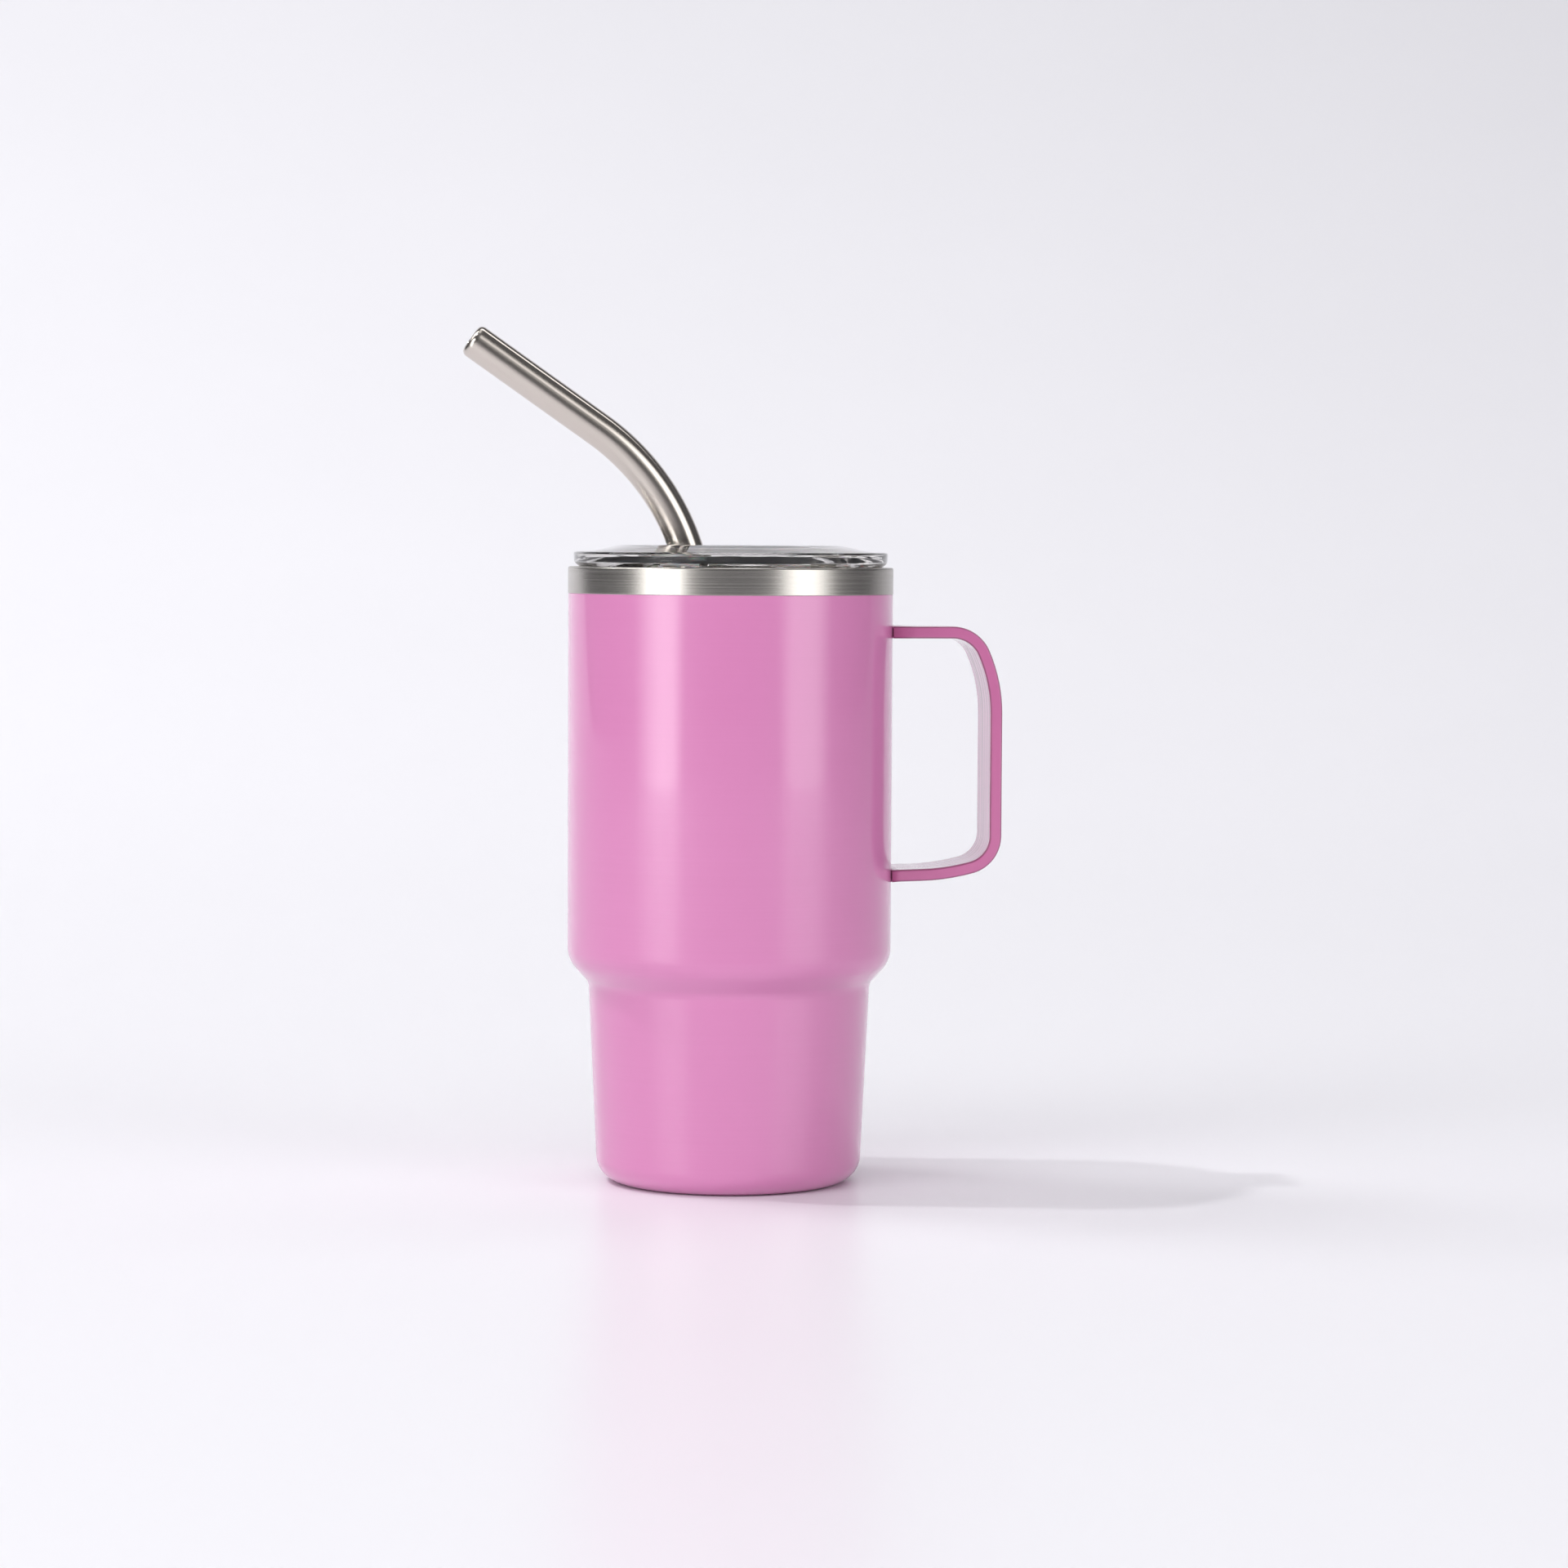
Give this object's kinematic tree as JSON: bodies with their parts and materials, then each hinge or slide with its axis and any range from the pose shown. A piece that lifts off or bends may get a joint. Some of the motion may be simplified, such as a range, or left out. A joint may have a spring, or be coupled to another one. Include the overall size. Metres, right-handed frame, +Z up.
{
  "type": "insulated tumbler",
  "caption": "Stepped double-walled steel tumbler with a strip handle, a clear press-in lid with a sliding closure, and a bent steel straw.",
  "frame": {"origin": "centre of the base, on the surface that the cup stands on", "axes": "+Z up the cup's axis, +X through the middle of the handle, -X towards the straw's mouth end"},
  "size_m": [0.1256, 0.076, 0.1993],
  "materials": {
    "pink_paint": "glossy clear-coated pink over fine turned steel",
    "brushed_steel": "brushed round the axis",
    "straw_steel": "satin, polished along its length",
    "clear_plastic": "clear, polished",
    "silicone": "translucent, matte",
    "foil": "bright foil",
    "solder": "dull",
    "getter_alloy": "sintered, matte"
  },
  "bodies": {
    "cup": {"outer_shell": "pink_paint", "inner_liner": "brushed_steel", "liner_bottom": "brushed_steel", "foil_wrap": "foil", "base_plate": "brushed_steel", "base_cover": "brushed_steel", "vacuum_seal": "solder", "getter_holder": "brushed_steel", "getter": "getter_alloy", "handle": "pink_paint", "handle_weld_upper": "pink_paint", "handle_weld_lower": "pink_paint"},
    "seal": {"lid_seal": "silicone"},
    "lid": {"lid_body": "clear_plastic"},
    "slider": {"slider": "clear_plastic"},
    "grommet": {"straw_grommet": "silicone"},
    "straw": {"straw": "straw_steel"}
  },
  "joints": [
    {"name": "lid_lift", "type": "slide", "parent": "cup", "child": "seal", "axis": [0, 0, 1], "range_m": [0, 0.15]},
    {"name": "lid_turn", "type": "hinge", "parent": "seal", "child": "lid", "pos_m": [0, 0, 0.138], "axis": [0, 0, 1], "continuous": true},
    {"name": "slider_open", "type": "slide", "parent": "lid", "child": "slider", "axis": [-1, 0, 0], "range_m": [0, 0.0085]},
    {"name": "straw_lift", "type": "slide", "parent": "lid", "child": "grommet", "axis": [-0.2334, 0, 0.9724], "range_m": [0, 0.15]},
    {"name": "straw_turn", "type": "hinge", "parent": "grommet", "child": "straw", "pos_m": [-0.00975, 0, 0.146], "axis": [-0.2334, 0, 0.9724], "continuous": true}
  ]
}
